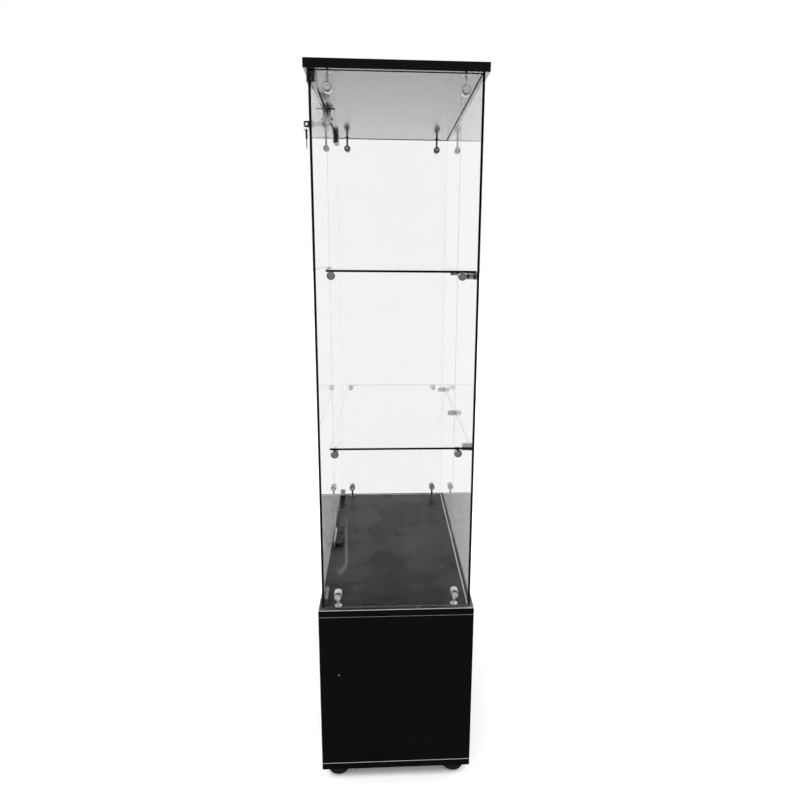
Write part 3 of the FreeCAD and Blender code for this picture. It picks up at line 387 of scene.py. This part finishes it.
def clear_plastic():
    """Clear soft plastic of washers, sleeves and seals."""
    material, nodes, shader = new_material("clear_plastic")
    texture = nodes.group(FINE_TEXTURE, Scale=500.0, Cloud_Scale=30.0, Cloud_Amount=0.4)
    tint = nodes.mix(texture.outputs["Value"], (0.86, 0.88, 0.88, 1), (0.93, 0.94, 0.94, 1))
    nodes.put(shader.inputs["Base Color"], tint)
    nodes.put(shader.inputs["Roughness"], nodes.ramp(texture.outputs["Value"], 0.2, 0.8, 0.08, 0.2))
    shader.inputs["Metallic"].default_value = 0.0
    shader.inputs["Transmission Weight"].default_value = 1.0
    shader.inputs["IOR"].default_value = 1.49
    return material


def beech():
    """Fluted beech dowels: long grain with short dark flecks."""
    material, nodes, shader = new_material("beech")
    where = nodes.add("ShaderNodeTexCoord").outputs["Object"]
    grain = nodes.noise(where, 220.0, 6.0, 0.6, (1.0, 1.0, 0.06))
    flecks = nodes.ramp(nodes.noise(where, 900.0, 2.0, 0.5, (1.0, 1.0, 0.12)), 0.62, 0.7)
    wood = nodes.mix(grain, (0.42, 0.27, 0.15, 1), (0.62, 0.45, 0.28, 1))
    nodes.put(shader.inputs["Base Color"], nodes.mix(flecks, wood, (0.3, 0.17, 0.09, 1)))
    nodes.put(shader.inputs["Roughness"], nodes.ramp(grain, 0.2, 0.8, 0.55, 0.7))
    nodes.put(shader.inputs["Normal"], bump(nodes, grain, 0.3, 0.0003))
    return material


FINISH = {
    "black_laminate": black_laminate("black_laminate"),
    "raw_panel_edge": beech(),
    "clear_glass": clear_glass(),
    "chrome": metal("chrome", (0.72, 0.725, 0.73, 1), 0.07, 0.16, 500.0, 0.05),
    "zinc_steel": metal("zinc_steel", (0.52, 0.53, 0.54, 1), 0.3, 0.45, 900.0, 0.12),
    "magnet": metal("magnet", (0.09, 0.09, 0.095, 1), 0.45, 0.6, 700.0, 0.2),
    "black_plastic": moulded(
        "black_plastic", (0.006, 0.006, 0.006, 1), (0.014, 0.014, 0.015, 1), 0.35, 0.5
    ),
    "clear_plastic": clear_plastic(),
    "grey_rubber": moulded("grey_rubber", (0.02, 0.02, 0.02, 1), (0.04, 0.04, 0.04, 1), 0.6, 0.8),
    "white_nylon": moulded("white_nylon", (0.66, 0.66, 0.63, 1), (0.76, 0.76, 0.73, 1), 0.35, 0.5),
    "key_steel": metal("key_steel", (0.6, 0.59, 0.56, 1), 0.2, 0.32, 1200.0, 0.15),
}
# one ground glass edge in three copies: painted shade on tops and near edges, painted highlight on the
# feet, painted light and a glow on the far edges
GLASS_EDGE_PAINTED_SHADE = glass_edge("glass_edge", (0.001, 0.003, 0.0025, 1), (0.005, 0.011, 0.009, 1))
FAR_EDGE_PAINTED_GLOW = glass_edge("far_glass_edge_painted_glow", (0.8, 0.83, 0.825, 1), (0.88, 0.91, 0.905, 1), glow=0.15)
LIT_EDGE = glass_edge("lit_glass_edge", (0.35, 0.39, 0.38, 1), (0.62, 0.66, 0.65, 1))
ROOF_LAMINATE = black_laminate("roof_laminate", gloss=1.0, ior=1.5)
DECK_LAMINATE = black_laminate("deck_laminate", film=1.0, ior=1.21, marked=True, speck_floor=0.7)
BLACK_LACQUER = black_laminate("black_lacquer", film=0.0, gloss=1.0, ior=1.5)
# painted highlight: the pale line of light on the boards' rounded edges
EDGE_PAINTED_HIGHLIGHT = moulded("edge_painted_highlight", (0.3, 0.3, 0.3, 1), (0.62, 0.62, 0.61, 1), 0.35, 0.5, grain=160.0)
# a black bead standing in for the shadow line along the glass, and a pale one for the bright line at its
# foot: painted shadow and painted highlight
BEAD_PAINTED_SHADOW = moulded("bead_painted_shadow", (0.004, 0.004, 0.004, 1), (0.01, 0.01, 0.01, 1), 0.5, 0.7)
BEAD_PAINTED_HIGHLIGHT = moulded("bead_painted_highlight", (0.7, 0.72, 0.72, 1), (0.85, 0.87, 0.87, 1), 0.2, 0.35, 300.0)
# lit and shaded copies of chrome and pale metal: the pale ones carry painted light, the dark one painted
# shade of dark reflections
SATIN_CHROME_PAINTED_LIGHT = metal("satin_chrome_painted_light", (0.6, 0.605, 0.61, 1), 0.2, 0.32, 500.0, 0.05, metallic=0.62)
CHROME_PAINTED_LIGHT = metal("chrome_painted_light", (0.78, 0.785, 0.79, 1), 0.15, 0.25, 500.0, 0.05, metallic=0.4)
SHELF_CAP_PAINTED_SHADE = metal("shelf_cap_painted_shade", (0.3, 0.3, 0.305, 1), 0.2, 0.3, 500.0, 0.05, metallic=0.7)
PALE_METAL_PAINTED_LIGHT = metal("pale_metal_painted_light", (0.9, 0.9, 0.9, 1), 0.2, 0.32, 500.0, 0.05, metallic=0.2)
CHROME_PAINTED_SHADE = metal("chrome_painted_shade", (0.2, 0.2, 0.205, 1), 0.1, 0.2, 500.0, 0.05)
MATT_BLACK = moulded("matt_black", (0.001, 0.001, 0.001, 1), (0.004, 0.004, 0.004, 1), 0.5, 0.65)
# right end brackets take the lit copy and left ones the shaded copy; saddle, bolts, strike strips and lock
# parts too: painted light and painted shade
SPECIAL_FINISH = {
    "deck_board": DECK_LAMINATE,
    "roof_board": ROOF_LAMINATE,
    "right_door_strike_strip": PALE_METAL_PAINTED_LIGHT,
    "left_door_strike_strip": PALE_METAL_PAINTED_LIGHT,
    "right_end_brackets": CHROME_PAINTED_LIGHT,
    "left_end_brackets": CHROME_PAINTED_SHADE,
    "bracket_bolts": PALE_METAL_PAINTED_LIGHT,
    "lock_strike": BLACK_LACQUER,
    "catch_housing": MATT_BLACK,
    "strike_screws": BLACK_LACQUER,
    "lock_barrel": CHROME_PAINTED_LIGHT,
    "lock_nut": PALE_METAL_PAINTED_LIGHT,
    "lock_cam": PALE_METAL_PAINTED_LIGHT,
    "lock_cam_screw": PALE_METAL_PAINTED_LIGHT,
}


def finish_cad_nodes():
    """Gives every carried-over node its listed special finish, or else the finish that its record slot
    names.
    """
    slot_of = {part["node"]: part["material_slot"] for part in frame["record"]["subparts"]}
    for node, obj in frame["nodes"].items():
        obj.data.materials.clear()
        obj.data.materials.append(SPECIAL_FINISH.get(node, FINISH[slot_of[node]]))


# ---- pieces drawn here in place of, or beside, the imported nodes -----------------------
def add_piece(name, mesh, body="case", node=None):
    """Links a piece, ties it to its body and, when given, lets it stand in for a node."""
    piece = bpy.data.objects.new(name, mesh)
    bpy.context.scene.collection.objects.link(piece)
    if node:
        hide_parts(node)
    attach(piece, body)


def copied_mesh(node, name, materials):
    """The node's own mesh, with room for several finishes."""
    mesh = frame["nodes"][node].data.copy()
    mesh.name = name
    mesh.materials.clear()
    for material in materials:
        mesh.materials.append(material)
    return mesh


# ---- glass ----------------------------------------------------------------------------
PANES = [
    # node, and the axis that its large faces look along: 0 for X, 1 for Y, 2 for Z
    ("right_end_glass", 1),
    ("left_end_glass", 1),
    ("back_glass_right", 0),
    ("back_glass_left", 0),
    ("right_door_glass", 0),
    ("left_door_glass", 0),
    ("upper_shelf", 2),
    ("lower_shelf", 2),
]
PANE_RIM = 2 * MM            # how far below a pane's top, or above its foot, the rim reaches
NEAR_EDGES = -250 * MM       # edges nearer than this along Y get painted shade, looking along the glass
PANE_FINISHES = [FINISH["clear_glass"], GLASS_EDGE_PAINTED_SHADE, LIT_EDGE, FAR_EDGE_PAINTED_GLOW]
CLEAR, RIM_PAINTED_SHADE, LIT_FOOT, RIM_PAINTED_LIGHT = range(len(PANE_FINISHES))
SQUARE_ON = 0.9              # a face looks along an axis when its normal's share of it is past this
LEANING = 0.5                # and towards the axis when it is past this


def pane_finish(face, across, low, high):
    """Which finish one face of a pane has: clear, or the ground edge with painted shade, painted highlight
    or painted light by place.
    """
    if abs(face.normal[across]) > SQUARE_ON:
        return CLEAR
    if across == 2:
        return RIM_PAINTED_SHADE if face.normal.y < -LEANING else RIM_PAINTED_LIGHT
    if face.center.z < low + PANE_RIM and face.normal.z < -LEANING:
        return LIT_FOOT
    if face.center.z > high - PANE_RIM or face.center.y < NEAR_EDGES:
        return RIM_PAINTED_SHADE
    return RIM_PAINTED_LIGHT


def glass_pane(node, across):
    """Pane in clear glass whose edges, arrises and hole walls are the ground edge with painted shade and
    painted light by place.
    """
    mesh = copied_mesh(node, node + "_pane", PANE_FINISHES)
    low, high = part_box(node)
    for face in mesh.polygons:
        face.material_index = pane_finish(face, across, low.z, high.z)
    add_piece(node + "_pane", mesh, BODY_OF[node], node)


# ---- boards whose rounded edges carry a painted highlight, a fine pale line --------------
HIGHLIGHT_REACH = 1.2 * MM        # the painted highlight is on the rounded faces this near to the board's edge
ROUND_FACE = (0.15, 0.98)    # share of Z in the normal of those rounded faces
BOARD, HIGHLIT_FACE = range(2)


def board_with_painted_highlight(node, finish, heights):
    """Board whose rounded edges at the given heights show a painted highlight, a fine pale line."""
    mesh = copied_mesh(node, node + "_highlit", [finish, EDGE_PAINTED_HIGHLIGHT])
    for face in mesh.polygons:
        on_round = ROUND_FACE[0] < abs(face.normal.z) < ROUND_FACE[1]
        at_highlight = any(abs(face.center.z - height) < HIGHLIGHT_REACH for height in heights)
        face.material_index = HIGHLIT_FACE if on_round and at_highlight else BOARD
    add_piece(node + "_highlit", mesh, BODY_OF[node], node)


# ---- fittings in copies of one metal with painted light and painted shade -----------------
def finished_fitting(node, materials, choose):
    """Copy of a fitting whose faces take one of several copies of its metal, with painted light or painted
    shade; choose(face) gives the index.
    """
    mesh = copied_mesh(node, node + "_finished", materials)
    for face in mesh.polygons:
        face.material_index = choose(face)
    add_piece(node + "_finished", mesh, BODY_OF[node], node)


CAP_NEAR_BOARD = 60 * MM     # caps nearer than this to the roof or the deck have domes with painted light
CAP_DOME = 0.97              # share of the outward axis in the normal of a cap's dome
CAP_FINISHES = [SATIN_CHROME_PAINTED_LIGHT, CHROME_PAINTED_SHADE, SHELF_CAP_PAINTED_SHADE]
DOME_PAINTED_LIGHT, CAP_RIM_PAINTED_SHADE, SHELF_DOME_PAINTED_SHADE = range(len(CAP_FINISHES))
CLAMP_END, CLAMP_SIDE = range(2)


def cap_finish(face):
    """Rims with painted shade; domes with painted light beside the boards and painted shade at the shelves.
    """
    outward = max(abs(face.normal.x), abs(face.normal.y))
    if outward < CAP_DOME:
        return CAP_RIM_PAINTED_SHADE
    beside_board = min(roof_low.z - face.center.z, face.center.z - deck_high.z) < CAP_NEAR_BOARD
    return DOME_PAINTED_LIGHT if beside_board else SHELF_DOME_PAINTED_SHADE


def clamp_finish(face):
    """Ends along the door in the first, brighter metal, with painted light on the saddle; sides in the
    darker copy, with painted shade.
    """
    return CLAMP_END if abs(face.normal.y) > SQUARE_ON else CLAMP_SIDE


# ---- beads along the glass, beside the boards: dark ones painted shadow, pale ones painted highlight ---
BEAD_R = 2.0 * MM            # along the back glass and the doors
END_BEAD_R = 1.2 * MM        # along the end panes
BEAD_ARC = 6                 # straight steps in the quarter round
BRACKET_HEAD_R = 10 * MM     # from a bracket's middle to its outermost point along X
FLANGE_CLEAR = 7.5 * MM      # the bead stops this far either side of a bracket's middle
end_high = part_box("right_end_glass")[1]
back_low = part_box("back_glass_right")[0]
bracket_low, bracket_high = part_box("right_end_brackets")


def bead_mesh(name, runs, inward, away, finish, radius=BEAD_R):
    """Quarter-round bead, one closed piece for each run; its flats reach out along inward and away."""
    points = []
    faces = []
    for start, end in runs:
        profile = [Vector((0, 0, 0))]
        for step in range(BEAD_ARC + 1):
            angle = math.pi / 2 * step / BEAD_ARC
            profile.append(radius * (math.cos(angle) * inward + math.sin(angle) * away))
        first = len(points)
        count = len(profile)
        points += [start + offset for offset in profile] + [end + offset for offset in profile]
        for here in range(count):
            after = (here + 1) % count
            faces.append((first + here, first + after, first + count + after, first + count + here))
        faces.append(tuple(range(first + count - 1, first - 1, -1)))
        faces.append(tuple(range(first + count, first + 2 * count)))
    mesh = bpy.data.meshes.new(name)
    mesh.from_pydata(points, [], faces)
    mesh.materials.append(finish)
    return mesh


def door_beads():
    """Dark beads of painted shadow along the top and bottom edge of each door."""
    for side, sign in (("right", -1), ("left", 1)):
        low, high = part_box(side + "_door_glass")
        clamp_low, clamp_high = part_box(side + "_door_clamps")
        outer = clamp_high.y if sign < 0 else clamp_low.y
        ends = (("foot", side + "_door_strike_strip", low.z, -1), ("head", "bolt_saddle", high.z, 1))
        for place, stop, height, up in ends:
            stop_low, stop_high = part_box(stop)
            inner = stop_low.y if sign < 0 else stop_high.y
            if place == "head" and sign < 0:
                inner = high.y - BEAD_R
            run = (Vector((high.x, outer, height)), Vector((high.x, inner, height)))
            name = side + "_door_" + place + "_bead"
            mesh = bead_mesh(name, [run], Vector((-1, 0, 0)), Vector((0, 0, up)), BEAD_PAINTED_SHADOW)
            add_piece(name, mesh, side + "_door")


def glass_beads():
    """Dark beads of painted shadow under the roof and pale ones of painted highlight on the deck, inside
    every fixed pane.
    """
    edge_x = back_low.x
    end_y = -end_high.y
    post = (bracket_high.x - bracket_low.x) / 2 - BRACKET_HEAD_R
    near, far = post - FLANGE_CLEAR, post + FLANGE_CLEAR
    spans = (
        (2 * CASE_X - edge_x + BEAD_R, CASE_X - far),
        (CASE_X - near, CASE_X + near),
        (CASE_X + far, edge_x - BEAD_R),
    )
    levels = (
        # roof beads: painted shadow; deck beads: painted highlight
        ("roof", roof_low.z, Vector((0, 0, -1)), BEAD_PAINTED_SHADOW, "grey_rubber"),
        ("deck", deck_high.z, Vector((0, 0, 1)), BEAD_PAINTED_HIGHLIGHT, "clear_plastic"),
    )
    for place, height, away, finish, slot in levels:
        run = (Vector((edge_x, -end_y + BEAD_R, height)), Vector((edge_x, end_y - BEAD_R, height)))
        name = place + "_back_bead"
        add_piece(name, bead_mesh(name, [run], Vector((-1, 0, 0)), away, finish))
        for side, sign in (("right", -1), ("left", 1)):
            runs = []
            for start_x, end_x in spans:
                start = Vector((start_x, sign * end_y, height))
                runs.append((start, Vector((end_x, sign * end_y, height))))
            name = place + "_" + side + "_bead"
            mesh = bead_mesh(name, runs, Vector((0, -sign, 0)), away, finish, END_BEAD_R)
            add_piece(name, mesh)


# ---- floor, light and surroundings --------------------------------------------------------
FLOOR_REACH = 60.0
BRIGHT = 1.05                # brightness of floor and studio on the far side, in reflections
DIM_FLOOR = 0.05             # the same on the floor's near side
DIM_STUDIO = 0.03            # and on the studio's near side


def lay_floor():
    """White floor with a soft shadow; even behind glass, and dark on the near side in reflections."""
    mesh = bpy.data.meshes.new("pale_floor")
    corners = [(-1, -1), (1, -1), (1, 1), (-1, 1)]
    mesh.from_pydata([(x * FLOOR_REACH, y * FLOOR_REACH, 0) for x, y in corners], [], [(0, 1, 2, 3)])
    floor = bpy.data.objects.new("pale_floor", mesh)
    bpy.context.scene.collection.objects.link(floor)
    material, nodes, shader = new_material("pale_floor")
    where = nodes.add("ShaderNodeTexCoord").outputs["Object"]
    cloud = nodes.noise(where, 1.2, 3.0, 0.5)
    nodes.put(shader.inputs["Base Color"], nodes.mix(cloud, (0.93, 0.93, 0.93, 1), (0.96, 0.96, 0.96, 1)))
    shader.inputs["Roughness"].default_value = 0.9
    shader.inputs["Specular IOR Level"].default_value = 0.0
    rays = nodes.add("ShaderNodeLightPath").outputs
    mirrored = nodes.math("MINIMUM", rays["Glossy Depth"], 1.0)
    in_mirrors = nodes.ramp(nodes.axis(where, "Y"), -0.3, 0.35, DIM_FLOOR, BRIGHT)
    glow = nodes.add("ShaderNodeEmission", Strength=nodes.blend(mirrored, 1.0, in_mirrors))
    pick = nodes.math("MAXIMUM", mirrored, rays["Is Transmission Ray"])
    both = nodes.add("ShaderNodeMixShader", Fac=pick)
    nodes.put(both.inputs[1], shader.outputs[0])
    nodes.put(both.inputs[2], glow.outputs[0])
    nodes.put(material.node_tree.nodes["Material Output"].inputs["Surface"], both.outputs[0])
    mesh.materials.append(material)


def surround():
    """White studio: even to the eye and through the glass, darker on the near side in reflections."""
    world = bpy.data.worlds.new("studio")
    bpy.context.scene.world = world
    world.use_nodes = True
    nodes = Nodes(world.node_tree)
    background = world.node_tree.nodes["Background"]
    direction = nodes.add("ShaderNodeTexCoord").outputs["Generated"]
    in_mirrors = nodes.ramp(nodes.axis(direction, "Y"), -0.7, 0.3, DIM_STUDIO, BRIGHT)
    rays = nodes.add("ShaderNodeLightPath").outputs
    mirrored = nodes.math("MINIMUM", rays["Glossy Depth"], 1.0)
    seen = nodes.math("ADD", 1.0, nodes.times(rays["Is Diffuse Ray"], 0.5))
    nodes.put(background.inputs["Strength"], nodes.blend(mirrored, seen, in_mirrors))
    background.inputs["Color"].default_value = (1.0, 1.0, 1.0, 1.0)


LIT_POINT = Vector((0, 0, 1.0))        # the lights look at this point inside the case
SOFT_LIGHTS = [
    # name, place, width and height, power in watts
    ("key_light", (-2.6, -1.6, 3.4), 1.6, 60),
    ("fill_light", (2.8, 1.2, 2.6), 2.0, 35),
]


def soft_light(name, place, size, power):
    data = bpy.data.lights.new(name, "AREA")
    data.shape = "RECTANGLE"
    data.size = size
    data.size_y = size
    data.energy = power
    lamp = bpy.data.objects.new(name, data)
    bpy.context.scene.collection.objects.link(lamp)
    lamp.location = place
    lamp.rotation_euler = (LIT_POINT - lamp.location).to_track_quat("-Z", "Y").to_euler()
    lamp.visible_camera = False


place_camera()
finish_cad_nodes()
for pane in PANES:
    glass_pane(*pane)
board_with_painted_highlight("deck_board", DECK_LAMINATE, (deck_low.z, deck_high.z))
board_with_painted_highlight("bottom_board", FINISH["black_laminate"], (bottom_high.z,))
finished_fitting("glass_caps", CAP_FINISHES, cap_finish)
# saddle and clamps: ends in the brighter metal, sides with painted shade
finished_fitting("bolt_saddle", [PALE_METAL_PAINTED_LIGHT, CHROME_PAINTED_SHADE], clamp_finish)
for node in ("right_door_clamps", "left_door_clamps"):
    finished_fitting(node, [FINISH["chrome"], CHROME_PAINTED_SHADE], clamp_finish)
glass_beads()
door_beads()
lay_floor()
surround()
for light in SOFT_LIGHTS:
    soft_light(*light)
bpy.context.scene.view_settings.view_transform = "Standard"
